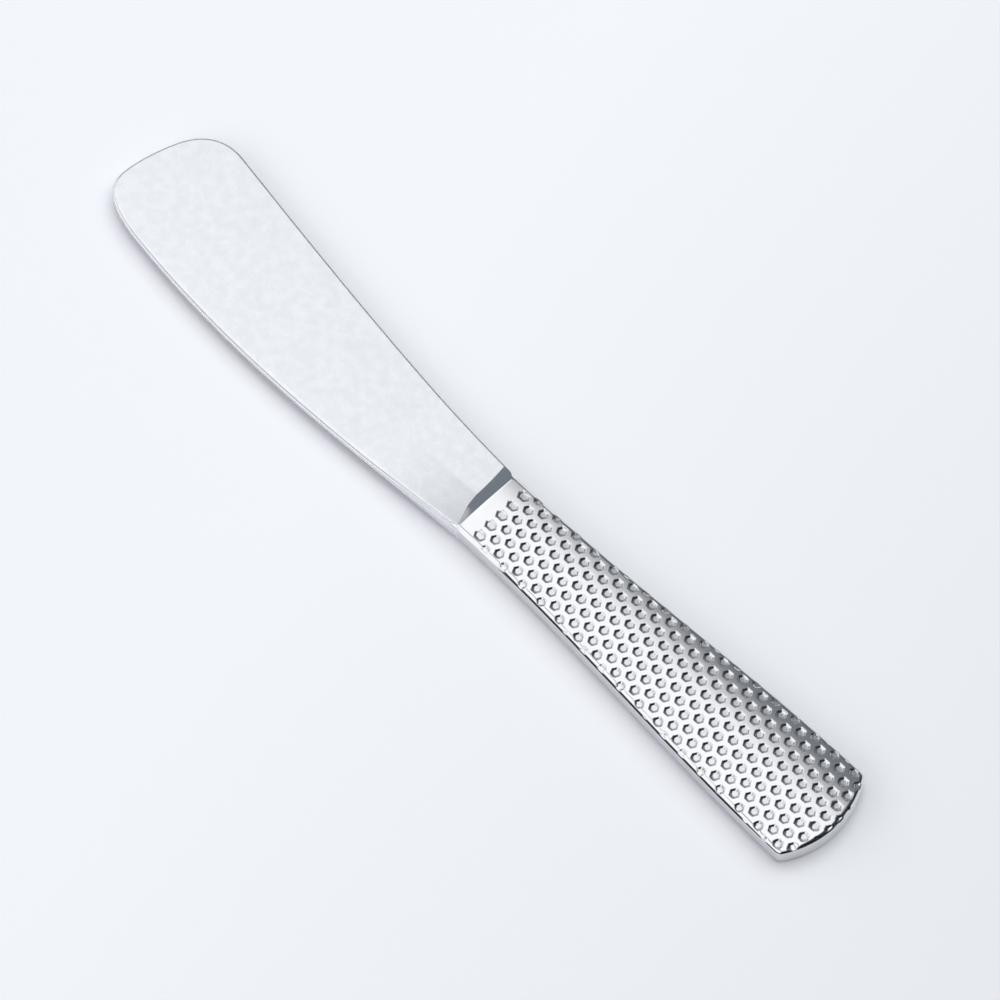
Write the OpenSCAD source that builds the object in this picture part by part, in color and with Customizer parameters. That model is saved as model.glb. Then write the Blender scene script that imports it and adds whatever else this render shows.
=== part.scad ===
// Butter knife with a broad spreading blade and a hollow, honeycomb-pressed steel handle.
// The handle lies along X with its butt towards +X, the blade points to -X and the spine faces +Y.
// The origin is on the table, under the middle of the handle, which rests on it.

/* [Handle] */
// Length of the handle, from its mouth to the end of its rounded butt
handle_l = 79.5; // [60:0.5:100]
// Thickness of the handle at the top of its crown
handle_t = 4.8; // [4.4:0.1:7]
// Width of the handle at its mouth, where the blade meets it
mouth_w = 13.7; // [12:0.1:17]
// Width of the handle at its butt
butt_w = 19.8; // [16:0.1:26]
// Radius of the rounded butt, seen from above
butt_r = 17; // [14:0.5:40]
// Radius of the butt's two corners, seen from above
corner_r = 1.2; // [1.1:0.1:3]
// Radius of the crown across each face
crown_r = 74; // [60:1:150]
// Width of the bevel round each face
bevel = 0.45; // [0.2:0.05:0.5]
// Thickness of the pressed steel shells
wall = 0.9; // [0.7:0.05:1]

/* [Honeycomb] */
// Distance between the centres of neighbouring cells
cell_pitch = 2.5; // [2:0.1:4]
// Width of a cell at its mouth, across its flats
cell_flats = 1.6; // [1:0.05:1.9]
// Width of a cell at its floor, across its flats
floor_flats = 0.9; // [0.4:0.05:0.95]
// Depth of a cell below the crown
cell_depth = 0.4; // [0.2:0.05:0.6]
// Length of the smooth collar between the mouth and the first cells
collar_l = 2.6; // [1:0.1:6]

/* [Blade] */
// Length of the blade, from the handle's mouth to its tip
blade_l = 87.2; // [60:0.2:120]
// Height of the spine above the centre line, where the tip begins to turn
spine_rise = 15.8; // [11:0.1:20]
// Depth of the belly below the centre line, where the tip begins to turn
belly_drop = 7.7; // [6:0.1:12]
// Thickness of the blade at the neck's end of its flat
blade_t = 1.3; // [1.1:0.05:1.8]
// Thickness of the blade at its tip
tip_t = 1; // [0.8:0.05:1.3]
// Thickness left at the blunt rim of the blade
rim_t = 0.5; // [0.3:0.05:0.7]
// Width of the bevel ground along the belly
belly_bevel = 1.4; // [0.6:0.1:2.5]
// Width of the rounding along the spine and the tip
spine_bevel = 0.35; // [0.2:0.05:0.6]
// Length over which the neck thickens towards the handle
neck_l = 20; // [12:0.5:30]
// Amount by which the neck thickens on each face
neck_rise = 1.1; // [0.5:0.05:1.2]
// Length of the hollow-ground ramp between the neck and the handle
ramp_l = 3.1; // [2:0.1:6]

/* [Tang] */
// Length of the spigot that fills the handle's mouth
spigot_l = 4; // [2:0.5:8]
// Length of the tang behind the spigot
tang_l = 52; // [20:1:56]
// Width of the tang at its root
tang_w = 5; // [3:0.5:8]
// Width of the tang at its end
tang_end_w = 3; // [2:0.5:3]
// Thickness of the tang
tang_t = 1.4; // [0.8:0.1:2]
// Clearance between the shells, the spigot, the tang and the core
fit = 0.05; // [0.02:0.01:0.15]

/* [Hidden] */

// Depth of the narrow flat along the crown of the lower face
foot_d = 0.03;
// Land left between the bevel and a cell that the rim cuts through
rim_land = 0.1;
// Part of a cell's radius by which its centre may lie beyond the bevel
beyond_share = 0.35;
// Overrun of a cut past the face that it opens
overrun = 1;
// Slopes of the outline, in width gained for each unit of length
mouth_slope_share = -0.015;
spine_root_slope_share = 0.065;
spine_end_slope_share = 0.15;
belly_root_slope_share = 0.09;
belly_end_slope_share = -0.13;
// Part of the blade's length that its long edges take before the tip begins
edge_share = 0.857;
// Power of the curve in which the neck thickens
neck_power_share = 1.5;
// Control points of the tip in three curves from the belly round to the spine, as shares of
// the tip's length and of the drop or rise on that side
tip_shares = [
    [0, -1], [0.73, -0.87], [1.005, -0.57],
    [1.005, -0.04], [0.995, 0.21], [0.91, 0.43],
    [0.84, 0.58], [0.71, 0.88], [0.43, 1.08], [0, 1]
];
// Steps along each stretch of the outlines
side_steps = 28;
corner_steps = 5;
butt_steps = 14;
edge_steps = 14;
ramp_steps = 8;
neck_steps = 8;
tip_steps = 8;

mid_z = (handle_t - foot_d) / 2;
mouth_x = -handle_l / 2;
mouth_y = mouth_w / 2;
butt_y = butt_w / 2;
butt_x = handle_l - butt_r;
corner_y = butt_y - corner_r;
side_l = butt_x + sqrt(pow(butt_r - corner_r, 2) - pow(corner_y, 2));
corner_a = atan2(corner_y, side_l - butt_x);
edge_l = edge_share * blade_l;
tip_l = blade_l - edge_l;
cell_r = cell_flats / sqrt(3);
floor_r = floor_flats / sqrt(3);
column_pitch = cell_pitch * sqrt(3) / 2;
rim_z = crown_z(mouth_y) - bevel;
foot_rise = rim_z + 2 * bevel - mid_z - blade_t / 2 - neck_rise;
ramp_r = (pow(ramp_l, 2) + pow(foot_rise, 2)) / (2 * foot_rise);

// Cubic through two heights with two end slopes, for a share s of the stretch's length
function hermite(s, y0, slope0, y1, slope1) =
    y0 * (1 - s * s * (3 - 2 * s)) + slope0 * s * pow(1 - s, 2)
    + y1 * s * s * (3 - 2 * s) - slope1 * s * s * (1 - s);

// Cubic Bezier point for a share s
function bezier(s, p) =
    pow(1 - s, 3) * p[0] + 3 * s * pow(1 - s, 2) * p[1] + 3 * s * s * (1 - s) * p[2] + pow(s, 3) * p[3];

// Half width of the handle at a distance x from its mouth
function side_y(x) = hermite(x / side_l, mouth_y, mouth_slope_share * side_l, butt_y, 0);

// Height of the upper crown at a distance y from the centre line
function crown_z(y) = handle_t - crown_r + sqrt(crown_r * crown_r - y * y);

// Upper half of the handle's outline from x0 to the end of the butt, drawn in by d
function half_outline(d, x0) = concat(
    [for (i = [0 : side_steps]) let (x = x0 + (side_l - x0) * i / side_steps) [x, side_y(x) - d]],
    [for (i = [1 : corner_steps]) let (a = 90 + (corner_a - 90) * i / corner_steps)
        [side_l + (corner_r - d) * cos(a), corner_y + (corner_r - d) * sin(a)]],
    [for (i = [1 : butt_steps]) let (a = corner_a * (1 - i / butt_steps))
        [butt_x + (butt_r - d) * cos(a), (butt_r - d) * sin(a)]]
);

// Whole outline, the upper half and then its mirror image back to the mouth
function outline(d, x0) = let (half = half_outline(d, x0), last = len(half) - 1)
    concat(half, [for (i = [last - 1 : -1 : 0]) [half[i][0], -half[i][1]]]);

// Heights of the spine and the belly at a distance d from the mouth
function spine_y(d) = hermite(d / edge_l, mouth_y, spine_root_slope_share * edge_l,
    spine_rise, spine_end_slope_share * edge_l);
function belly_y(d) = -hermite(d / edge_l, mouth_y, belly_root_slope_share * edge_l,
    belly_drop, belly_end_slope_share * edge_l);

// Distances from the mouth at which the blade's long edges have a point
edge_stations = concat(
    [for (i = [0 : ramp_steps]) ramp_l * i / ramp_steps],
    [for (i = [1 : neck_steps]) ramp_l + (neck_l - ramp_l) * i / neck_steps],
    [for (i = [1 : edge_steps]) neck_l + (edge_l - neck_l) * i / edge_steps]
);

// Point of the tip for a share pair from tip_shares
function tip_point(p) = [-edge_l - tip_l * p[0], p[1] * (p[1] > 0 ? spine_rise : belly_drop)];
tip_points = [for (k = [0 : 2]) for (i = [1 : tip_steps])
    bezier(i / tip_steps, [for (j = [0 : 3]) tip_point(tip_shares[3 * k + j])])];
tip_centre = [-edge_l, (spine_rise - belly_drop) / 2];

// Share of the neck's thickening left at a distance d from the mouth
function neck_share(d) = d < neck_l ? pow(1 - d / neck_l, neck_power_share) : 0;

// Half thickness of the blade's faces and of its rim at a distance d from the mouth
function face_h(d) = (tip_t + (blade_t - tip_t) * (1 - d / blade_l)) / 2 + neck_rise * neck_share(d)
    + (d < ramp_l ? ramp_r - sqrt(pow(ramp_r, 2) - pow(ramp_l - d, 2)) : 0);
function rim_h(d) = rim_t / 2 + (rim_z - mid_z - rim_t / 2) * neck_share(d);

// Width of the bevel on each long edge, which meets the handle's bevel at the mouth
function belly_inset(d) = lookup(d, [[0, 2 * bevel], [neck_l, belly_bevel],
    [edge_l - tip_l, belly_bevel], [edge_l, spine_bevel]]);
function spine_inset(d) = lookup(d, [[0, 2 * bevel], [neck_l, spine_bevel]]);

// One ring round the blade: the full outline at its rim, or drawn in at a face
function blade_ring(is_face, up) = concat(
    [for (d = edge_stations) [-d, belly_y(d) + (is_face ? belly_inset(d) : 0), ring_z(d, is_face, up)]],
    [for (i = [0 : len(tip_points) - 2]) let (p = tip_points[i], inward = tip_centre - p,
        q = is_face ? p + spine_bevel * inward / norm(inward) : p) [q[0], q[1], ring_z(-q[0], is_face, up)]],
    [for (i = [len(edge_stations) - 1 : -1 : 0]) let (d = edge_stations[i])
        [-d, spine_y(d) - (is_face ? spine_inset(d) : 0), ring_z(d, is_face, up)]]
);
function ring_z(d, is_face, up) = mid_z + up * (is_face ? face_h(d) : rim_h(d));

// Closed solid through rings of equal length. A ring starts and ends at the mouth, and its two
// sides are joined across in strips to close the first and the last ring.
module ring_solid(rings) {
    m = len(rings[0]);
    top = (len(rings) - 1) * m;
    strips = [for (i = [0 : floor((m - 3) / 2)]) [i, i + 1, m - 2 - i, m - 1 - i]];
    polyhedron(
        points = [for (r = rings) each r],
        faces = concat(
            [for (s = strips) [s[3], s[1], s[0]]],
            [for (s = strips) if (s[1] != s[2]) [s[3], s[2], s[1]]],
            [for (s = strips) [top + s[0], top + s[1], top + s[3]]],
            [for (s = strips) if (s[1] != s[2]) [top + s[1], top + s[2], top + s[3]]],
            [for (k = [0 : len(rings) - 2]) for (j = [0 : m - 1]) let (n = (j + 1) % m)
                each [[k * m + j, k * m + n, (k + 1) * m + n], [k * m + j, (k + 1) * m + n, (k + 1) * m + j]]]
        )
    );
}

// Space between the two crowns, drawn in by d on every side
module between_crowns(d) {
    length = blade_l + handle_l + 2 * overrun;
    intersection() {
        translate([-blade_l - overrun, 0, handle_t - crown_r])
            rotate([0, 90, 0]) cylinder(h = length, r = crown_r - d, $fn = 200);
        translate([-blade_l - overrun, 0, crown_r - foot_d])
            rotate([0, 90, 0]) cylinder(h = length, r = crown_r - d, $fn = 200);
        translate([-blade_l - overrun, -butt_w, d])
            cube([length, 2 * butt_w, handle_t]);
    }
}

// Outside of the handle: side walls, bevels that follow the crown, and the crown itself
module handle_body() {
    edge = outline(0, 0);
    bevelled = outline(2 * bevel, 0);
    function ring(points, rise, up) = [
        for (i = [0 : len(points) - 1]) let (z = crown_z(edge[i][1]) + rise)
            [points[i][0], points[i][1], up ? z : handle_t - foot_d - z]
    ];
    intersection() {
        ring_solid([
            ring(bevelled, bevel, false), ring(edge, -bevel, false),
            ring(edge, -bevel, true), ring(bevelled, bevel, true)
        ]);
        between_crowns(0);
    }
}

// Slice of the handle's inside, drawn in by d, from x0 to its butt
module inside(d, x0) {
    intersection() {
        linear_extrude(height = handle_t) polygon(outline(d, x0));
        between_crowns(d);
    }
}

// Distance from a point to the bevel, along the side or round the butt, whichever is nearer
function cell_room(x, y) = let (side_room = side_y(min(x, side_l)) - bevel - abs(y))
    x < butt_x ? side_room : min(side_room, butt_r - bevel - norm([x - butt_x, y]));
cells = [
    for (i = [0 : floor((handle_l - collar_l) / column_pitch)])
        let (x = collar_l + cell_r + i * column_pitch, rows = ceil(butt_y / cell_pitch))
        for (j = [-rows : rows]) let (y = (j + (i % 2) / 2) * cell_pitch)
            if (cell_room(x, y) > -beyond_share * cell_r) [x, y]
];

// One cell: a hexagonal hollow with leaning walls and a flat floor
module cell(p) {
    floor_z = crown_z(p[1]) - cell_depth;
    lean = (cell_r - floor_r) / cell_depth;
    translate([p[0], p[1], floor_z])
        cylinder(h = 2 * cell_depth, r1 = floor_r, r2 = floor_r + 2 * cell_depth * lean, $fn = 6);
}

module cell_cuts() {
    for (p = cells) if (cell_room(p[0], p[1]) > cell_r + rim_land) cell(p);
    intersection() {
        union() {
            for (p = cells) if (cell_room(p[0], p[1]) <= cell_r + rim_land) cell(p);
        }
        linear_extrude(height = 2 * handle_t) polygon(outline(bevel + rim_land, 0));
    }
}

// Half of the handle above its middle plane, hollow and pressed with cells
module shell() {
    difference() {
        intersection() {
            handle_body();
            translate([-overrun, -butt_w, mid_z]) cube([handle_l + 2 * overrun, 2 * butt_w, handle_t]);
        }
        inside(wall, -overrun);
        cell_cuts();
    }
}

module tang(d) {
    tip_w = tang_end_w / 2 + d;
    root_w = tang_w / 2 + d;
    translate([0, 0, mid_z - tang_t / 2 - d])
        linear_extrude(height = tang_t + 2 * d)
            polygon([[0, -root_w], [spigot_l + tang_l + d, -tip_w], [spigot_l + tang_l + d, tip_w], [0, root_w]]);
}

module placed() {
    translate([mouth_x, 0, 0]) children();
}

module blade() {
    color([0.86, 0.87, 0.88]) placed() union() {
        intersection() {
            ring_solid([blade_ring(true, -1), blade_ring(false, -1), blade_ring(false, 1), blade_ring(true, 1)]);
            between_crowns(0);
        }
        intersection() {
            inside(wall + fit, -overrun);
            translate([-overrun, -butt_w, 0]) cube([spigot_l + overrun, 2 * butt_w, handle_t]);
        }
        tang(0);
    }
}

module handle_upper_shell() {
    color([0.8, 0.81, 0.83]) placed() shell();
}

module handle_lower_shell() {
    color([0.76, 0.77, 0.79]) placed() intersection() {
        translate([0, 0, handle_t - foot_d]) mirror([0, 0, 1]) shell();
        translate([-overrun, -butt_w, 0]) cube([handle_l + 2 * overrun, 2 * butt_w, handle_t]);
    }
}

module handle_filler() {
    color([0.7, 0.68, 0.63]) placed() difference() {
        inside(wall + fit, spigot_l + fit);
        tang(fit);
    }
}

blade();
handle_upper_shell();
handle_lower_shell();
handle_filler();
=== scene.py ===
"""Butter knife with a broad spreading blade and a hollow handle pressed all over with small hexagons.

Sizes are in millimetres and are measured from the handle's mouth, where the blade meets it: x grows towards
the butt, y towards the spine and z upwards. in_frame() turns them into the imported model's metres. The camera,
the floor and the lamps are placed in those metres straight away."""

import math

import bpy
import numpy as np
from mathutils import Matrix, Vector


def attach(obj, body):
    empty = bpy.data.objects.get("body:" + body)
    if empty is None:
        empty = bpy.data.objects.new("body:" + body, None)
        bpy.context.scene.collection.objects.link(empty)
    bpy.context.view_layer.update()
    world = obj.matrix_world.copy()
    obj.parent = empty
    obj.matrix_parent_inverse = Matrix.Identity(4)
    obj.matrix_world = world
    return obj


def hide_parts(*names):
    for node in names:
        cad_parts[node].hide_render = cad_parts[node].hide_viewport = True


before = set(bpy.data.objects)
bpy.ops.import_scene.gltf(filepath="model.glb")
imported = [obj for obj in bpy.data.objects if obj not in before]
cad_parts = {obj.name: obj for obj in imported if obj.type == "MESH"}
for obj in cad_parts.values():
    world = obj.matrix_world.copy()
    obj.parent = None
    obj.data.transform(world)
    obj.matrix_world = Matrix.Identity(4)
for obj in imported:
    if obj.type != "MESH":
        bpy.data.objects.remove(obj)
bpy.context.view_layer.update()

# Camera
# A long lens from high up on the belly's side of the butt, as the picture was taken. It looks at the top of
# the handle just past its mouth.
look_point = (-0.0386, 0.0017, 0.0048)
camera_distance = 0.9696
camera_elevation = math.radians(65.23)
camera_turn = math.radians(45.57)
lens_mm = 213.6
sensor_mm = 36.0

camera_data = bpy.data.cameras.new("camera")
camera_data.lens = lens_mm
camera_data.sensor_width = sensor_mm
camera_data.clip_start = 0.01
camera_data.clip_end = 20
camera = bpy.data.objects.new("camera", camera_data)
bpy.context.scene.collection.objects.link(camera)
camera.location = (
    look_point[0] + camera_distance * math.cos(camera_elevation) * math.sin(camera_turn),
    look_point[1] - camera_distance * math.cos(camera_elevation) * math.cos(camera_turn),
    look_point[2] + camera_distance * math.sin(camera_elevation),
)
camera.rotation_euler = (math.pi / 2 - camera_elevation, 0, camera_turn)
bpy.context.scene.camera = camera

# Handle halves
# Two pressed halves of mirror-polished stainless sheet, brazed together edge to edge and ground flush, so
# that no line shows. Each is a low crown with a narrow bevel and a plain side wall, and the hexagonal cells
# were pressed before the bevel was ground, which cut the outermost ones open.
handle_l = 79.5
handle_t = 4.8
mouth_w = 13.7
butt_w = 19.8
butt_r = 17.0
corner_r = 1.2
crown_r = 74.0
bevel = 0.7
rim_drop = 0.66
bevel_slope = 0.65
bevel_foot_slope = 1.24
steep_from = 8.0
steep_to = 14.0
bevel_corner_share = 0.7
bevel_corner_near = 2.0
bevel_corner_far = 12.0
bevel_blend = 0.03
crown_blend = 0.07
wall = 0.9
foot_d = 0.03
mouth_slope = -0.015
first_cell_x = 3.524
cell_pitch = 2.5
cell_flats = 1.66
floor_flats = 0.98
cell_depth = 0.34
cell_fillet = 0.07
cell_roundness = 14
stamp_share = 0.85
stamp_reach = 0.4
edge_round = 0.05
skirt = 0.86

mid_z = (handle_t - foot_d) / 2
mouth_y = mouth_w / 2
butt_y = butt_w / 2
butt_x = handle_l - butt_r
corner_y = butt_y - corner_r
side_l = butt_x + math.sqrt((butt_r - corner_r) ** 2 - corner_y**2)
corner_a = math.atan2(corner_y, side_l - butt_x)
column_pitch = cell_pitch * math.sqrt(3) / 2
last_column = math.floor((handle_l - first_cell_x) / column_pitch)


def in_frame(points):
    """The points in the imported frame, which is in metres and starts half the handle's length further on."""
    return (np.asarray(points) - (handle_l / 2, 0, 0)) / 1000


def eased(s, y0, slope0, y1, slope1):
    """Cubic in the share s that leaves y0 with slope0 at 0 and meets y1 with slope1 at 1."""
    turn = s * s * (3 - 2 * s)
    return y0 * (1 - turn) + slope0 * s * (1 - s) ** 2 + y1 * turn - slope1 * s * s * (1 - s)


def smooth_step(value, low, high):
    """0 below low, 1 above high, and 3 s^2 - 2 s^3 between them. Low may be the larger of the two."""
    s = np.clip((value - low) / (high - low), 0, 1)
    return s * s * (3 - 2 * s)


def soft_min(a, b, blend):
    """The smaller of a and b, rounded off by a parabola where they differ by less than blend."""
    h = np.clip(0.5 + (b - a) / (2 * blend), 0, 1)
    return b + (a - b) * h - blend * h * (1 - h)


def side_y(x):
    """Half width of the handle at x: a cubic from the mouth to where the butt's corner begins."""
    return eased(x / side_l, mouth_y, mouth_slope * side_l, butt_y, 0)


def crown_z(y, inside=0.0):
    """Height of the upper crown at y: an arc of radius crown_r about the X axis, drawn in by inside."""
    return handle_t - crown_r + np.sqrt((crown_r - inside) ** 2 - y * y)


def from_nearest_cell(x, y):
    """Offsets of the points from their nearest cell centre along X and along Y."""
    column = np.round((x - first_cell_x) / column_pitch) + np.array([[-1], [0], [1]])
    column = np.clip(column, 0, last_column)
    dx = x - first_cell_x - column * column_pitch
    dy = (y - (column % 2) * cell_pitch / 2 + cell_pitch / 2) % cell_pitch - cell_pitch / 2
    nearest = np.argmin(np.hypot(dx, dy), axis=0)[None, :]
    return np.take_along_axis(dx, nearest, 0)[0], np.take_along_axis(dy, nearest, 0)[0]


def across_flats(dx, dy):
    """Sizes of the offsets along the three directions that are square to a cell's flats, one row for each."""
    turns = np.array([[math.pi / 6], [math.pi / 2], [5 * math.pi / 6]])
    return np.abs(dx * np.cos(turns) + dy * np.sin(turns))


def cell_hollow(x, y):
    """Depth of the pressed cells at (x, y). The distance from the nearest cell centre is the high power mean
    of the sizes across the flats, which gives a hexagon with eased corners. The wall leans evenly from the
    cell's mouth down to its floor, with a fillet at both."""
    spread = np.sum(across_flats(*from_nearest_cell(x, y)) ** cell_roundness, axis=0) ** (1 / cell_roundness)
    run = (cell_flats - floor_flats) / 2
    sunk = (cell_flats / 2 - spread) / run
    return -cell_depth * soft_min(-soft_min(sunk, 1, cell_fillet / run), 0, cell_fillet / run)


def pressed_cells(x, y):
    """The cells, and along the first column a second, shallower stroke of the same stamp nearer the mouth."""
    second = stamp_share * cell_hollow(x + stamp_reach, y) * (x < first_cell_x)
    return np.maximum(cell_hollow(x, y), second)


def drawn_to_cells(x, y, share):
    """The points, moved towards or away from their nearest cell centre by share of the whole way. The whole
    way brings six evenly spaced hexagons round the centre to where the fillets begin and end."""
    tiny = 1e-6
    dx, dy = from_nearest_cell(x, y)
    spread = np.maximum(across_flats(dx, dy).max(axis=0), tiny)
    floor_r, mouth_r = floor_flats / 2, cell_flats / 2
    drawn = [
        0, (floor_r - cell_fillet) / 2, floor_r - cell_fillet, floor_r + cell_fillet, mouth_r - cell_fillet,
        mouth_r + cell_fillet, cell_pitch / 2,
    ]
    moved = np.interp(spread, np.linspace(0, cell_pitch / 2, len(drawn)), drawn) / spread - 1
    moved *= share * (spread < cell_pitch / 2)
    return x + moved * dx, y + moved * dy


def pressed_z(x, y):
    """Height of the pressed crown at (x, y)."""
    return crown_z(y) - pressed_cells(x, y)


def bevel_share(x, y):
    """Share of the full bevel that was ground at (x, y): it is least at the butt's belly corner."""
    from_corner = np.hypot(x - side_l, y + corner_y)
    whole = smooth_step(from_corner, bevel_corner_near, bevel_corner_far)
    return bevel_corner_share + (1 - bevel_corner_share) * whole


def handle_face_z(x, y, inset, edge_y):
    """Upper face at (x, y): the lowest of the pressed crown and the bevel's two flats. The head of the bevel
    reaches the crown at the distance bevel in from the outline. Its foot, which past steep_to is steeper than
    45 degrees, rises from rim_drop below the crown at the outline (edge_y). The distance in is inset."""
    foot_slope = 1 + (bevel_foot_slope - 1) * smooth_step(x, steep_from, steep_to)
    foot = crown_z(edge_y) - bevel_share(x, y) * rim_drop + foot_slope * inset
    head = crown_z(edge_y) + bevel_slope * (inset - bevel_share(x, y) * bevel)
    return soft_min(pressed_z(x, y), soft_min(head, foot, bevel_blend), crown_blend)


def grid_triangles(ids, crossed=slice(0)):
    """Two triangles for each square of a grid of vertex numbers. The squares in the rows that crossed picks
    are cut along their other diagonal. Triangles whose corners coincide are left out."""
    a, b, c, d = ids[:-1, :-1], ids[1:, :-1], ids[1:, 1:], ids[:-1, 1:]
    one, other = np.stack([a, b, c], -1), np.stack([a, c, d], -1)
    one[:, crossed] = np.stack([a, b, d], -1)[:, crossed]
    other[:, crossed] = np.stack([b, c, d], -1)[:, crossed]
    both = np.concatenate([one.reshape(-1, 3), other.reshape(-1, 3)])
    same = (both[:, 0] == both[:, 1]) | (both[:, 1] == both[:, 2]) | (both[:, 2] == both[:, 0])
    return both[~same]


def rounded_edge(inner, corner, outer, steps):
    """Points of a quadratic Bezier from inner to outer that rounds off the corner between them."""
    s = (np.arange(1, steps + 1) / steps)[:, None, None]
    return (1 - s) ** 2 * inner + 2 * s * (1 - s) * corner + s**2 * outer


def points_across(ring, parts):
    """Points that cut the straight line from each point of the ring's first half to its mirror image on the
    second half into equal parts, with one row for each line."""
    half = len(ring) // 2
    s = np.linspace(0, 1, parts + 1)[None, 1:-1, None]
    return ring[:half, None] * (1 - s) + ring[::-1][:half, None] * s


def below(points):
    """The same points mirrored in the middle plane and kept above the table."""
    turned = points.copy()
    turned[..., 2] = np.maximum(2 * mid_z - turned[..., 2], 0)
    return turned


def solid_mesh(name, points, satin, smooth, flat, faces, normals=None):
    """Mesh of smooth triangles, flat triangles and flat many-sided faces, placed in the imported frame. The
    edges of the flat ones are sharp. Each point carries satin, from 0 where it is polished to 1 where it is
    matt. Smooth triangles take the points' normals, where these are given and not zero."""
    mesh = bpy.data.meshes.new(name)
    polygons = smooth.tolist() + flat.tolist() + faces
    mesh.from_pydata(in_frame(points).tolist(), [], polygons, shade_flat=False)
    is_flat = np.zeros(len(mesh.polygons), bool)
    is_flat[len(smooth):] = True
    mesh.polygons.foreach_set("use_smooth", ~is_flat)
    corner_edges = np.empty(len(mesh.loops), int)
    mesh.loops.foreach_get("edge_index", corner_edges)
    corners = np.empty(len(mesh.polygons), int)
    mesh.polygons.foreach_get("loop_total", corners)
    is_sharp = np.zeros(len(mesh.edges), bool)
    is_sharp[corner_edges[np.repeat(is_flat, corners)]] = True
    mesh.edges.foreach_set("use_edge_sharp", is_sharp)
    if normals is not None:
        corner_points = np.empty(len(mesh.loops), int)
        mesh.loops.foreach_get("vertex_index", corner_points)
        corner_normals = np.where(np.repeat(is_flat, corners)[:, None], 0, normals[corner_points])
        mesh.normals_split_custom_set(corner_normals.tolist())
    satin_share = mesh.attributes.new("satin", "FLOAT", "POINT")
    satin_share.data.foreach_set("value", np.asarray(satin, float))
    piece = bpy.data.objects.new(name, mesh)
    bpy.context.scene.collection.objects.link(piece)
    return piece


def pressed_normals(x, y):
    """Normals of the pressed crown at (x, y), from the change of height over a short probe to both sides."""
    probe = 0.002
    slope_x = (pressed_z(x + probe, y) - pressed_z(x - probe, y)) / (2 * probe)
    slope_y = (pressed_z(x, y + probe) - pressed_z(x, y - probe)) / (2 * probe)
    normals = np.stack([-slope_x, -slope_y, np.ones(len(x))], -1)
    return normals / np.linalg.norm(normals, axis=1)[:, None]


def face_grid():
    """Grid of the handle's face: x and y of its points, their numbers by column and row, the numbers of those
    on the line round it, and that line's outward directions.

    Its triangles are even and in step with the cells, with each odd row shifted by half a step. The rows end
    on a line drawn in by skirt from the outline. Past the straight steps they reach on to the round butt."""
    steps_a_column, steps_a_pitch, straight_steps = 9, 12, 292
    step_x, step_y = column_pitch / steps_a_column, cell_pitch / steps_a_pitch
    stretch_x = first_cell_x + straight_steps * step_x
    before = math.floor(first_cell_x / step_x)
    straight = first_cell_x + step_x * np.arange(-before, straight_steps)
    straight = np.concatenate([[0], straight])
    reach = np.linspace(0, 1, round((handle_l - skirt - stretch_x) / step_x) + 1)
    share = np.concatenate([np.zeros(len(straight)), reach])
    side_x = np.concatenate([straight, stretch_x + reach * (side_l - stretch_x)])
    side = side_y(side_x) - skirt
    corner_gaps = np.array([0.1, 0.065, 0.035, 0.015, 0])
    corner_rows = butt_y - skirt - corner_gaps
    rows_out = np.arange(1, math.floor(corner_rows[0] / step_y)) * step_y
    rows = np.concatenate([rows_out, corner_rows])
    rows = np.concatenate([-rows[::-1], [0], rows])

    # The rounded butt, drawn in by skirt: its arc, and past the joint of the arcs its corner's arc
    joint_y = corner_y + (corner_r - skirt) * math.sin(corner_a)
    on_corner = np.abs(rows) > joint_y
    centre_x = np.where(on_corner, side_l, butt_x)
    centre_y = np.where(on_corner, corner_y * np.sign(rows), 0)
    radius = np.where(on_corner, corner_r, butt_r) - skirt
    across = np.clip((rows - centre_y) / radius, -1, 1)
    along = np.sqrt(1 - across**2)
    end_x = centre_x + radius * along

    # Places of the points, with the rows past each side line drawn together onto it
    column, row = np.meshgrid(np.arange(len(side_x)), np.arange(len(rows)), indexing="ij")
    least_gap = step_y / 4
    inner = np.abs(rows)[None, :] < side[:, None] - least_gap
    first = np.argmax(inner, axis=1) - 1
    last = len(rows) - 1 - first
    row_used = np.clip(row, first[:, None], last[:, None])
    on_line = (row_used == first[:, None]) | (row_used == last[:, None])
    centre_row = len(rows) // 2
    shift = 0.5 * step_x * (np.abs(np.arange(len(rows)) - centre_row) % 2) * (1 - share)[:, None]
    shift[0] = 0
    reached = stretch_x + share[:, None] * (end_x - stretch_x)
    grid_x = np.where(share[:, None] > 0, reached, side_x[:, None]) + shift
    grid_x = np.where(on_line, side_x[:, None], grid_x)
    grid_y = np.where(on_line, np.sign(rows[row_used]) * side[:, None], rows[row_used])
    grid_x = np.where(on_line, grid_x, np.take_along_axis(grid_x, row_used, axis=1))
    used, face_ids = np.unique(column * len(rows) + row_used, return_inverse=True)
    face_ids = face_ids.reshape(column.shape)
    face_x, face_y = grid_x.ravel()[used], grid_y.ravel()[used]

    # Points away from the line are drawn to the cells
    side_inset = side_y(np.minimum(face_x, side_l)) - np.abs(face_y)
    butt_inset = butt_r - np.hypot(np.maximum(face_x - butt_x, 0), face_y)
    undrawn_to, drawn_from = skirt + 0.1, skirt + 0.6
    share_drawn = smooth_step(np.minimum(side_inset, butt_inset), undrawn_to, drawn_from)
    face_x, face_y = drawn_to_cells(face_x, face_y, share_drawn)

    # The line, from the mouth along the belly, round the butt and back
    end = len(side_x) - 1
    round_butt = np.arange(first[end] + 1, last[end])
    line_ids = np.concatenate([
        face_ids[np.arange(end + 1), first],
        face_ids[end, round_butt],
        face_ids[np.arange(end, -1, -1), last[::-1]],
    ])
    still = np.zeros(end + 1)
    outward = np.stack([
        np.concatenate([still, along[round_butt], still]),
        np.concatenate([still - 1, across[round_butt], still + 1]),
    ], -1)
    return face_x, face_y, face_ids, line_ids, outward


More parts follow.
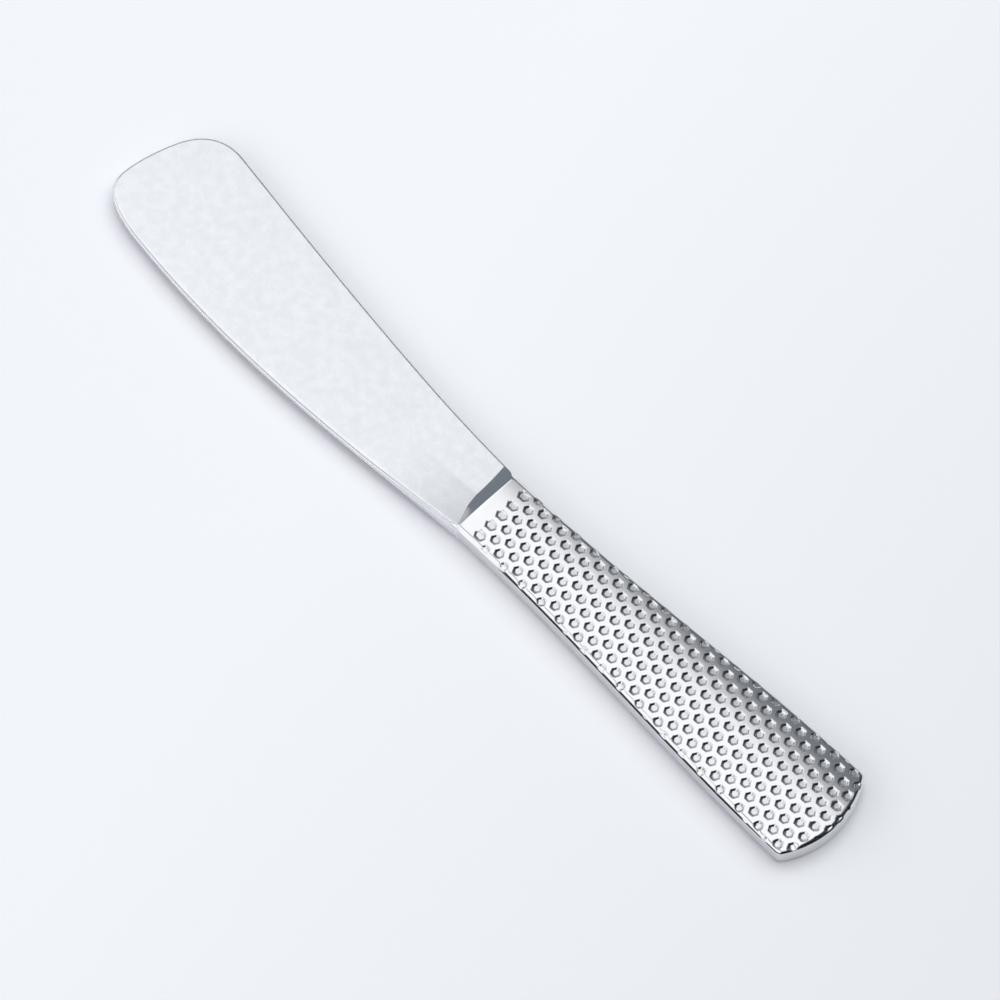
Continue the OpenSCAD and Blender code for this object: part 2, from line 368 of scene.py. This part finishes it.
def handle_half():
    """Points, their normals and satin, smooth triangles, flat triangles and mouth face of the upper half.

    Rings round the face's line make the bevel, its rounded edge, the wall, the seam and the inside, which is
    closed by strips from side to side."""
    face_x, face_y, face_ids, line_ids, outward = face_grid()
    face = np.stack([face_x, face_y, pressed_z(face_x, face_y)], -1)
    line = face[line_ids, :2]
    outline_x, outline_y = (line + outward * skirt).T

    def ring(inset, z):
        """Points on the outline drawn in by inset, at the height z."""
        level = np.broadcast_to(z, outline_y.shape)[:, None]
        return np.concatenate([line + outward * (skirt - inset), level], -1)

    def face_ring(inset):
        """Points of the face on the outline drawn in by inset."""
        at = line + outward * (skirt - inset)
        return ring(inset, handle_face_z(at[:, 0], at[:, 1], inset, outline_y))

    insets = (0.82, 0.78, 0.74, 0.7, 0.66, 0.62, 0.58, 0.48, 0.41, 0.38, 0.35, 0.32, 0.29, 0.16, edge_round)
    rim_z = crown_z(outline_y) - bevel_share(outline_x, outline_y) * rim_drop
    wall_top = rim_z - edge_round
    face[line_ids] = face_ring(skirt)
    rings = [face_ring(inset) for inset in insets]
    rings += list(rounded_edge(rings[-1], ring(0, rim_z), ring(0, wall_top), steps=6))
    rings += [ring(0, wall_top + s * (mid_z - wall_top)) for s in (0.5, 1)]
    seam_start = len(rings) - 1
    inner_y = (line + outward * (skirt - wall))[:, 1]
    rings += [ring(wall, mid_z), ring(wall, crown_z(inner_y, wall))]
    ring_ids = len(face) + np.arange(len(rings) * len(line)).reshape(len(rings), len(line))

    # Ceiling of the inside, in strips that join each point of the innermost ring with its mirror image
    half = len(line) // 2
    spans = points_across(rings[-1], parts=6)
    spans[..., 2] = crown_z(spans[..., 1], wall)
    span_ids = len(face) + ring_ids.size + np.arange(spans.size // 3).reshape(half, -1)
    ceiling_ids = np.concatenate([ring_ids[-1][:half, None], span_ids, ring_ids[-1][::-1][:half, None]], 1)
    apex = np.full((1, ceiling_ids.shape[1]), ring_ids[-1][half])
    ceiling_ids = np.concatenate([ceiling_ids, apex])

    points = np.concatenate([face, np.concatenate(rings), spans.reshape(-1, 3)])
    rounds = np.concatenate([line_ids[None, :], ring_ids])
    crossed_rows = slice(face_ids.shape[1] // 2 % 2, None, 2)
    smooth = np.concatenate([
        grid_triangles(face_ids, crossed_rows), grid_triangles(rounds[: seam_start + 2]),
        grid_triangles(rounds[seam_start + 2 :]), grid_triangles(ceiling_ids)[:, ::-1],
    ])
    seam = grid_triangles(rounds[seam_start + 1 : seam_start + 3])
    top = np.unique(face_ids[0])
    mouth = np.concatenate([rounds[:0:-1, 0], top, rounds[1:, -1], ceiling_ids[0, ::-1][1:-1]])
    satin = np.zeros(len(points))
    satin[: len(face)] = pressed_cells(face_x, face_y) / cell_depth
    normals = np.zeros(points.shape)
    normals[: len(face)] = pressed_normals(face_x, face_y)
    return points, normals, satin, smooth, seam, mouth


points, normals, satin, smooth, seam, mouth = handle_half()
upper_shell = solid_mesh("upper_shell", points, satin, smooth, seam, [mouth.tolist()], normals)
points = below(points)
normals = np.where(points[:, 2:] > 0, normals * (1, 1, -1), (0, 0, -1))
lower_shell = solid_mesh(
    "lower_shell", points, satin, smooth[:, ::-1], seam[:, ::-1], [mouth[::-1].tolist()], normals
)


def polish_group():
    """Node group for ground and polished surfaces. Broad, soft clouds and a finer grain are mixed into a Tone
    from 0 to 1. Roughness runs from Polished to Satin with the piece's satin attribute and varies with the
    tone by the share Spread, and Height is the grain, for a bump."""
    group = bpy.data.node_groups.new("polish", "ShaderNodeTree")
    for name, value in (
        ("Cloud Scale", 300), ("Grain Scale", 3000), ("Grain Share", 0.5),
        ("Polished", 0.1), ("Satin", 0.35), ("Spread", 0.15),
    ):
        socket = group.interface.new_socket(name, in_out="INPUT", socket_type="NodeSocketFloat")
        socket.default_value = value
    for name in ("Tone", "Roughness", "Height"):
        group.interface.new_socket(name, in_out="OUTPUT", socket_type="NodeSocketFloat")
    nodes, links = group.nodes, group.links
    given, made = nodes.new("NodeGroupInput"), nodes.new("NodeGroupOutput")
    place = nodes.new("ShaderNodeTexCoord")
    cloud, grain = nodes.new("ShaderNodeTexNoise"), nodes.new("ShaderNodeTexNoise")
    cloud.inputs["Detail"].default_value = 4
    cloud.inputs["Roughness"].default_value = 0.6
    grain.inputs["Detail"].default_value = 2
    for noise, scale in ((cloud, "Cloud Scale"), (grain, "Grain Scale")):
        links.new(place.outputs["Object"], noise.inputs["Vector"])
        links.new(given.outputs[scale], noise.inputs["Scale"])
    mixed = nodes.new("ShaderNodeMix")
    links.new(given.outputs["Grain Share"], mixed.inputs["Factor"])
    links.new(cloud.outputs["Fac"], mixed.inputs["A"])
    links.new(grain.outputs["Fac"], mixed.inputs["B"])
    tone = nodes.new("ShaderNodeMapRange")
    tone.inputs["From Min"].default_value = 0.3
    tone.inputs["From Max"].default_value = 0.7
    links.new(mixed.outputs["Result"], tone.inputs["Value"])
    satin = nodes.new("ShaderNodeAttribute")
    satin.attribute_name = "satin"
    rough = nodes.new("ShaderNodeMapRange")
    links.new(satin.outputs["Fac"], rough.inputs["Value"])
    links.new(given.outputs["Polished"], rough.inputs["To Min"])
    links.new(given.outputs["Satin"], rough.inputs["To Max"])
    varied = nodes.new("ShaderNodeMapRange")
    links.new(tone.outputs["Result"], varied.inputs["Value"])
    varied.inputs["To Min"].default_value = 1
    lowest = nodes.new("ShaderNodeMath")
    lowest.operation = "SUBTRACT"
    lowest.inputs[0].default_value = 1
    links.new(given.outputs["Spread"], lowest.inputs[1])
    links.new(lowest.outputs["Value"], varied.inputs["To Max"])
    uneven = nodes.new("ShaderNodeMath")
    uneven.operation = "MULTIPLY"
    links.new(rough.outputs["Result"], uneven.inputs[0])
    links.new(varied.outputs["Result"], uneven.inputs[1])
    links.new(tone.outputs["Result"], made.inputs["Tone"])
    links.new(uneven.outputs["Value"], made.inputs["Roughness"])
    links.new(grain.outputs["Fac"], made.inputs["Height"])
    return group


polish = polish_group()


def steel(name, dark, light, polished, satin, cloud_scale, grain_scale, grain_share, bump):
    """Stainless steel. Its colour runs from dark to light and its roughness from polished to satin."""
    material = bpy.data.materials.new(name)
    material.use_nodes = True
    nodes, links = material.node_tree.nodes, material.node_tree.links
    surface = nodes["Principled BSDF"]
    surface.inputs["Metallic"].default_value = 1
    marks = nodes.new("ShaderNodeGroup")
    marks.node_tree = polish
    marks.inputs["Cloud Scale"].default_value = cloud_scale
    marks.inputs["Grain Scale"].default_value = grain_scale
    marks.inputs["Grain Share"].default_value = grain_share
    marks.inputs["Polished"].default_value = polished
    marks.inputs["Satin"].default_value = satin
    colour = nodes.new("ShaderNodeMix")
    colour.data_type = "RGBA"
    colour.inputs["A"].default_value = (*dark, 1)
    colour.inputs["B"].default_value = (*light, 1)
    links.new(marks.outputs["Tone"], colour.inputs["Factor"])
    links.new(colour.outputs["Result"], surface.inputs["Base Color"])
    links.new(marks.outputs["Roughness"], surface.inputs["Roughness"])
    relief = nodes.new("ShaderNodeBump")
    relief.inputs["Strength"].default_value = bump
    relief.inputs["Distance"].default_value = 0.00001
    links.new(marks.outputs["Height"], relief.inputs["Height"])
    links.new(relief.outputs["Normal"], surface.inputs["Normal"])
    return material


handle_steel = steel(
    "mirror_polished_steel", dark=(0.74, 0.75, 0.76), light=(0.79, 0.795, 0.805), polished=0.12, satin=0.3,
    cloud_scale=260, grain_scale=4000, grain_share=0.4, bump=0.1,
)
for shell, node in ((upper_shell, "handle_upper_shell"), (lower_shell, "handle_lower_shell")):
    shell.data.materials.append(handle_steel)
    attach(shell, "root")
    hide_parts(node)

# Core
# Cement cast round the tang, which fills the handle and holds the blade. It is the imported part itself, and
# it shows only where the handle is cut open.
core_material = bpy.data.materials.new("cast_cement")
core_material.use_nodes = True
core_nodes, core_links = core_material.node_tree.nodes, core_material.node_tree.links
core_surface = core_nodes["Principled BSDF"]
core_surface.inputs["Roughness"].default_value = 0.9
core_marks = core_nodes.new("ShaderNodeGroup")
core_marks.node_tree = polish
core_marks.inputs["Cloud Scale"].default_value = 400
core_marks.inputs["Grain Scale"].default_value = 2500
core_colour = core_nodes.new("ShaderNodeMix")
core_colour.data_type = "RGBA"
core_colour.inputs["A"].default_value = (0.58, 0.56, 0.51, 1)
core_colour.inputs["B"].default_value = (0.76, 0.74, 0.69, 1)
core_relief = core_nodes.new("ShaderNodeBump")
core_relief.inputs["Strength"].default_value = 0.6
core_relief.inputs["Distance"].default_value = 0.0001
core_links.new(core_marks.outputs["Tone"], core_colour.inputs["Factor"])
core_links.new(core_colour.outputs["Result"], core_surface.inputs["Base Color"])
core_links.new(core_marks.outputs["Height"], core_relief.inputs["Height"])
core_links.new(core_relief.outputs["Normal"], core_surface.inputs["Normal"])
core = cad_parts["handle_filler"]
core.data.materials.clear()
core.data.materials.append(core_material)

# Blade
# One forging of stainless steel: a broad flat with a long bevel along the belly, a neck that thickens into a
# flat ramp, a spigot that fills the handle's mouth, and a tang in the cement. It was tumbled to a fine satin.
blade_l = 87.2
spine_rise = 15.8
belly_drop = 7.7
blade_t = 1.3
tip_t = 1.0
rim_t = 0.5
belly_bevel = 1.4
corner_bevel = 1.2
spine_bevel = 0.6
neck_l = 20.0
neck_rise = 1.1
neck_power = 1.5
ramp_head = 0.35
ramp_foot = 2.5
ramp_foot_lean = 0.012
ramp_turn_y = -2.4
ramp_turn = 0.05
ramp_turn_blend = 0.5
foot_blend = 0.02
head_blend = 0.05
neck_lift = 0.05
rim_round = 0.08
handle_bevel_to = 0.3
blade_bevel_from = 2.5
bevel_power = 5
square_to = 10.0
spine_bevel_from = 1.5
satin_crease = 0.03
satin_from_y = -2.6
satin_to_y = -4.4
spigot_l = 4.0
tang_l = 52.0
tang_w = 5.0
tang_end_w = 3.0
tang_t = 1.4
fit = 0.05
spine_root_slope = 0.065
spine_end_slope = 0.15
belly_root_slope = 0.09
belly_end_slope = -0.13
edge_l = 0.857 * blade_l
tip_l = blade_l - edge_l
tip_shares = np.array([
    [0, -1], [0.73, -0.87], [1.005, -0.57],
    [1.005, -0.04], [0.995, 0.21], [0.91, 0.43],
    [0.84, 0.58], [0.71, 0.88], [0.43, 1.055], [0, 1],
])
rim_z = crown_z(mouth_y) - rim_drop


def spine_y(d):
    """Y of the spine at the distance d from the mouth."""
    return eased(d / edge_l, mouth_y, spine_root_slope * edge_l, spine_rise, spine_end_slope * edge_l)


def belly_y(d):
    """Y of the belly at the distance d from the mouth."""
    return -eased(d / edge_l, mouth_y, belly_root_slope * edge_l, belly_drop, belly_end_slope * edge_l)


def tip_outline(steps):
    """Points of the tip's three Bezier curves from the belly round to the spine, without their outer ends. A
    control point's first share is of the tip's length, its second of the belly's drop or the spine's rise."""
    rise = np.where(tip_shares[:, 1] > 0, spine_rise, belly_drop)
    control = np.stack([-edge_l - tip_l * tip_shares[:, 0], tip_shares[:, 1] * rise], -1)
    s = (np.arange(steps) / steps)[:, None]
    curves = [
        (1 - s) ** 3 * control[k] + 3 * s * (1 - s) ** 2 * control[k + 1]
        + 3 * s * s * (1 - s) * control[k + 2] + s**3 * control[k + 3]
        for k in (0, 3, 6)
    ]
    return np.concatenate(curves)[1:]


def neck_share(d):
    """Share of the neck's thickening left at the distance d from the mouth."""
    return np.clip(1 - d / neck_l, 0, 1) ** neck_power


def rim_h(d):
    """Half thickness of the rim: that of the handle's wall at the mouth, thinning along the neck."""
    return rim_t / 2 + (rim_z - mid_z - rim_t / 2) * neck_share(d)


def flat_z(d, y):
    """Upper flat of the blade, without the ramp: it tapers to the tip and rises along the neck, a little more
    on the belly's side."""
    taper = (tip_t + (blade_t - tip_t) * (1 - d / blade_l)) / 2
    return mid_z + taper + (neck_rise + neck_lift * np.maximum(-y, 0)) * neck_share(d)


def ramp_z(d, y):
    """Ramp, which climbs to the crown at ramp_head. On the spine's side its foot leans away from the mouth
    with the square of y. On the belly's side it keeps the slope that it has in the middle, and past
    ramp_turn_y it turns towards the belly."""
    y = np.clip(y, -mouth_y, mouth_y)
    spine_side = np.maximum(y, 0)
    foot = ramp_foot + ramp_foot_lean * spine_side**2
    slope = (crown_z(spine_side) - flat_z(foot, 0 * foot)) / (foot - ramp_head)
    turned = np.hypot(np.maximum(ramp_turn_y - y, 0), ramp_turn_blend) - ramp_turn_blend
    return crown_z(y) - (slope + ramp_turn * turned) * (d - ramp_head)


def blade_face_z(d, y):
    """Upper face of the blade: the flat or the ramp, whichever is higher. Past the crown's height the ramp
    goes on and is cut off later."""
    return -soft_min(-flat_z(d, y), -ramp_z(d, y), foot_blend)


def blade_line():
    """Outline of the blade from the mouth along the belly, round the tip and back along the spine, with each
    point's inward direction and width of bevel. At the mouth the direction is straight across, and from
    square_to on it is square to the line."""
    ramp_end, ramp_step = 3.4, 0.08
    neck_steps, middle_steps, edge_steps, tip_steps = 34, 42, 20, 24
    d = np.concatenate([
        np.arange(0, ramp_end, ramp_step),
        np.linspace(ramp_end, neck_l, neck_steps, endpoint=False),
        np.linspace(neck_l, edge_l - tip_l, middle_steps, endpoint=False),
        np.linspace(edge_l - tip_l, edge_l, edge_steps),
    ])
    tip = tip_outline(tip_steps)
    line = np.concatenate([
        np.stack([-d, belly_y(d)], -1), tip, np.stack([-d, spine_y(d)], -1)[::-1]
    ])
    along = np.gradient(line, axis=0)
    inward = np.stack([along[:, 1] * np.clip(-line[:, 0] / square_to, 0, 1), -along[:, 0]], -1)
    inward /= np.linalg.norm(inward, axis=1)[:, None]
    belly_width = np.interp(
        d, [0, neck_l, edge_l - tip_l, edge_l], [skirt, belly_bevel, belly_bevel, corner_bevel]
    )
    tip_width = np.interp(np.arange(len(tip)), [0, tip_steps], [corner_bevel, spine_bevel])
    spine_width = np.interp(d, [0, spine_bevel_from], [skirt, spine_bevel])
    return line, inward, np.concatenate([belly_width, tip_width, spine_width[::-1]])


def shank_rings(edge):
    """Rings that carry the edge of the mouth on into the handle: the shoulder, the spigot and the tang."""
    height_share = (edge[:, 2] - mid_z) / (crown_z(edge[:, 1]) - mid_z)

    def spigot_ring(x):
        """Edge of the spigot at x: the inside of the shells, with the fit left all round."""
        y = edge[:, 1] / mouth_y * (side_y(x) - wall - fit)
        z = mid_z + height_share * (crown_z(y, wall + fit) - mid_z)
        return np.stack([np.full(len(edge), x), y, z], -1)

    def tang_ring(x):
        """Edge of the tang at x: it tapers evenly to its end."""
        half_w = (tang_w + (tang_end_w - tang_w) * x / (spigot_l + tang_l)) / 2
        y = edge[:, 1] / mouth_y * half_w
        return np.stack([np.full(len(edge), x), y, mid_z + height_share * tang_t / 2], -1)

    return [spigot_ring(0.0), spigot_ring(spigot_l), tang_ring(spigot_l), tang_ring(spigot_l + tang_l)]


def blade_solid():
    """Points, their satin, smooth triangles, flat triangles and end face of the blade with its tang.

    Rings drawn in from the outline make the bevels, the rounded rim and the same below. Chords from side to
    side make the two faces. The edge of the mouth is then carried on into the handle."""
    line, inward, width = blade_line()
    count, half = len(line), len(line) // 2

    def bevel_ring(share):
        """Points on the bevel at a share of its width in from the rim. Up to handle_bevel_to they have the
        height of the handle's bevel, as far as the ramp leaves it. From blade_bevel_from on they lie on a
        high power curve that meets the face level and rounds off steeply at the rim."""
        at = line + inward * (share * width)[:, None]
        away = -at[:, 0]
        low = mid_z + rim_h(away)
        rise = blade_face_z(away, at[:, 1]) - low
        as_handle = soft_min(handle_face_z(0, at[:, 1], share * width, mouth_y) - rim_z, rise, head_blend)
        as_blade = rise * (1 - (1 - share) ** bevel_power)
        z = low + as_handle + (as_blade - as_handle) * smooth_step(away, handle_bevel_to, blade_bevel_from)
        return np.concatenate([at, z[:, None]], -1)

    def rim_ring(drop):
        """Points on the rim's upright wall, drop below its top or on its middle line if that is nearer."""
        z = np.maximum(mid_z + rim_h(-line[:, 0]) - drop, mid_z)
        return np.concatenate([line, z[:, None]], -1)

    shares = (1, 0.85, 0.7, 0.58, 0.48, 0.4, 0.33, 0.27, 0.22, 0.17, 0.12, 0.08)
    upper = [bevel_ring(share) for share in shares]
    upper += list(rounded_edge(upper[-1], rim_ring(0), rim_ring(rim_round), steps=5))
    upper += [rim_ring(handle_t)]
    rings = np.array(upper + [below(ring) for ring in upper[-2::-1]])
    ring_ids = np.arange(len(rings) * count).reshape(len(rings), count)

    # Chords across the upper face from each point of the belly's half to its partner on the spine's half
    chords = points_across(rings[0], parts=81)
    chord_z = blade_face_z(-chords[..., 0], chords[..., 1])
    chords[..., 2] = soft_min(chord_z, crown_z(chords[..., 1]), head_blend)
    chord_ids = ring_ids.size + np.arange(chords.size // 3).reshape(half, -1)
    under_ids = chord_ids + chord_ids.size

    def faced(ids, edge_ids):
        """Vertex numbers over a face: the edge's halves, the chords between them and the tip's last point."""
        grid = np.concatenate([edge_ids[:half, None], ids, edge_ids[::-1][:half, None]], 1)
        if count % 2:
            return np.concatenate([grid, np.full((1, grid.shape[1]), edge_ids[half])])
        return grid

    over, under = faced(chord_ids, ring_ids[0]), faced(under_ids, ring_ids[-1])
    points = np.concatenate([rings.reshape(-1, 3), chords.reshape(-1, 3), below(chords).reshape(-1, 3)])

    # Edge of the mouth, from the belly over the top to the spine and back underneath, and the rings past it
    mouth_ids = np.concatenate([over[0], ring_ids[1:, -1], under[0][::-1][1:], ring_ids[-2:0:-1, 0]])
    shank = shank_rings(points[mouth_ids])
    shank_ids = len(points) + np.arange(len(shank) * len(mouth_ids)).reshape(len(shank), len(mouth_ids))
    shank_ids = np.concatenate([mouth_ids[None, :], shank_ids])
    shank_ids = np.concatenate([shank_ids, shank_ids[:, :1]], 1)
    points = np.concatenate([points, np.concatenate(shank)])
    smooth = np.concatenate([
        grid_triangles(over)[:, ::-1], grid_triangles(ring_ids)[:, ::-1], grid_triangles(under),
        grid_triangles(shank_ids[1:3]), grid_triangles(shank_ids[3:5]),
    ])
    flat = np.concatenate([grid_triangles(shank_ids[:2]), grid_triangles(shank_ids[2:4])])
    d, y = -points[:, 0], points[:, 1]
    satin = smooth_step(flat_z(np.maximum(d, 0), y) - ramp_z(d, y), -satin_crease, satin_crease)
    satin = np.maximum(satin, smooth_step(y, satin_from_y, satin_to_y))
    return points, satin, smooth, flat, shank_ids[-1, -2::-1]


points, satin, smooth, flat, tang_end = blade_solid()
blade = solid_mesh("spreading_blade", points, satin, smooth, flat, [tang_end.tolist()])
blade_steel = steel(
    "tumbled_satin_steel", dark=(0.826, 0.847, 0.873), light=(0.846, 0.866, 0.89), polished=0.12, satin=0.3,
    cloud_scale=600, grain_scale=3000, grain_share=0.2, bump=0.02,
)
blade.data.materials.append(blade_steel)
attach(blade, "root")
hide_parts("blade")

# Floor
# A plain pale sheet under the knife, which keeps its shadow. Its colour grows a little darker along the falloff
# direction, from the falloff reach before the origin to as far past it. This is painted shade, standing in for
# the light falling off across the sheet.
floor_half = 2.0
painted_falloff_direction = (1, 0.28, 0)
painted_falloff_reach = 0.07
painted_light_tip_colour = (0.924, 0.904, 0.963, 1)
painted_shade_butt_colour = (0.824, 0.806, 0.860, 1)
floor_mesh = bpy.data.meshes.new("floor")
floor_mesh.from_pydata(
    [(-floor_half, -floor_half, 0), (floor_half, -floor_half, 0), (floor_half, floor_half, 0),
     (-floor_half, floor_half, 0)], [], [(0, 1, 2, 3)]
)
floor = bpy.data.objects.new("floor", floor_mesh)
bpy.context.scene.collection.objects.link(floor)
floor_material = bpy.data.materials.new("pale_sheet")
floor_material.use_nodes = True
floor_nodes, floor_links = floor_material.node_tree.nodes, floor_material.node_tree.links
floor_nodes.remove(floor_nodes["Principled BSDF"])
matt = floor_nodes.new("ShaderNodeBsdfDiffuse")
place, across = floor_nodes.new("ShaderNodeTexCoord"), floor_nodes.new("ShaderNodeVectorMath")
across.operation = "DOT_PRODUCT"
across.inputs[1].default_value = painted_falloff_direction
# Painted shade: the sheet's colour runs from a lighter tip end to a darker butt end, where light falls off.
along, shade = floor_nodes.new("ShaderNodeMapRange"), floor_nodes.new("ShaderNodeMix")
along.inputs["From Min"].default_value = -painted_falloff_reach
along.inputs["From Max"].default_value = painted_falloff_reach
shade.data_type = "RGBA"
shade.inputs["A"].default_value = painted_light_tip_colour
shade.inputs["B"].default_value = painted_shade_butt_colour
floor_links.new(place.outputs["Object"], across.inputs[0])
floor_links.new(across.outputs["Value"], along.inputs["Value"])
floor_links.new(along.outputs["Result"], shade.inputs["Factor"])
floor_links.new(shade.outputs["Result"], matt.inputs["Color"])
floor_links.new(matt.outputs["BSDF"], floor_nodes["Material Output"].inputs["Surface"])
floor_mesh.materials.append(floor_material)

# Studio light
# A dim room with a large lamp overhead, whose right and far edges show in the handle, a wall of soft light on
# the left and in front, a grey far side, and a broad fill lamp that casts the shadow. Azimuths turn left from
# straight away, and a lamp's sides are written as side_window() takes them.
away = np.array([-math.sin(camera_turn), math.cos(camera_turn), 0])
right = np.array([math.cos(camera_turn), math.sin(camera_turn), 0])
room_colour = (0.02, 0.02, 0.022)
lamp_colour = (1.22, 1.22, 1.24)
far_colour = (0.175, 0.195, 0.222)
lamps = {
    "overhead": (lamp_colour, ((96, 8.7, -1.5, 6), (180, 38.7, 0, 5), (0, 45, 0, 6), (-80, 30, 8, 6))),
    "left_wall": (lamp_colour, ((126, 0, 0, 9), (75, 0, 0, 3), (0, 90, 13, 1), (0, -90, -50, 5))),
    "far_side": (far_colour, ((0, 30, 0, 35), (60, 40, -5, 30))),
}
fill_power = 110.0
fill_colour = (0.9, 1.0, 0.93)
fill_size = 4.2
fill_distance = 4.0
fill_turn = math.radians(-50)
fill_tilt = math.radians(64)

world = bpy.data.worlds.new("studio")
bpy.context.scene.world = world
world.use_nodes = True
world_nodes, world_links = world.node_tree.nodes, world.node_tree.links
direction = world_nodes.new("ShaderNodeTexCoord").outputs["Generated"]


def side_window(azimuth, elevation, angle, soft):
    """Output that rises from 0 to 1 across one straight side of a lamp. The angle of a direction above the
    plane that azimuth and elevation face rises there from angle - soft to angle + soft, in degrees."""
    turn, tilt = math.radians(azimuth), math.radians(elevation)
    level = math.cos(turn) * away - math.sin(turn) * right
    above = world_nodes.new("ShaderNodeVectorMath")
    above.operation = "DOT_PRODUCT"
    above.inputs[1].default_value = tuple(math.cos(tilt) * level + math.sin(tilt) * np.array([0, 0, 1]))
    world_links.new(direction, above.inputs[0])
    rise = world_nodes.new("ShaderNodeMapRange")
    rise.interpolation_type = "SMOOTHSTEP"
    rise.inputs["From Min"].default_value = math.sin(math.radians(angle - soft))
    rise.inputs["From Max"].default_value = math.sin(math.radians(angle + soft))
    world_links.new(above.outputs["Value"], rise.inputs["Value"])
    return rise.outputs["Result"]


def vector_step(operation, first, second):
    """Output of one vector operation on an output and another output or a constant."""
    step = world_nodes.new("ShaderNodeVectorMath")
    step.operation = operation
    world_links.new(first, step.inputs[0])
    if isinstance(second, tuple):
        step.inputs[1].default_value = second
    else:
        world_links.new(second, step.inputs[1])
    return step.outputs["Vector"]


light = None
for colour, sides in lamps.values():
    shape = side_window(*sides[0])
    for side in sides[1:]:
        shape = vector_step("MULTIPLY", shape, side_window(*side))
    shine = vector_step("MULTIPLY", shape, colour)
    light = vector_step("MAXIMUM", light or shine, shine)
world_links.new(vector_step("ADD", light, room_colour), world_nodes["Background"].inputs["Color"])

fill_direction = math.cos(fill_tilt) * (math.cos(fill_turn) * away - math.sin(fill_turn) * right)
fill_direction = fill_direction + (0, 0, math.sin(fill_tilt))
fill_data = bpy.data.lights.new("fill", "AREA")
fill_data.energy = fill_power
fill_data.color = fill_colour
fill_data.size = fill_size
fill = bpy.data.objects.new("fill", fill_data)
bpy.context.scene.collection.objects.link(fill)
fill.location = tuple(fill_distance * fill_direction)
fill.rotation_euler = Vector(fill_direction).to_track_quat("Z", "Y").to_euler()
fill.visible_glossy = False

bpy.context.scene.view_settings.view_transform = "Standard"
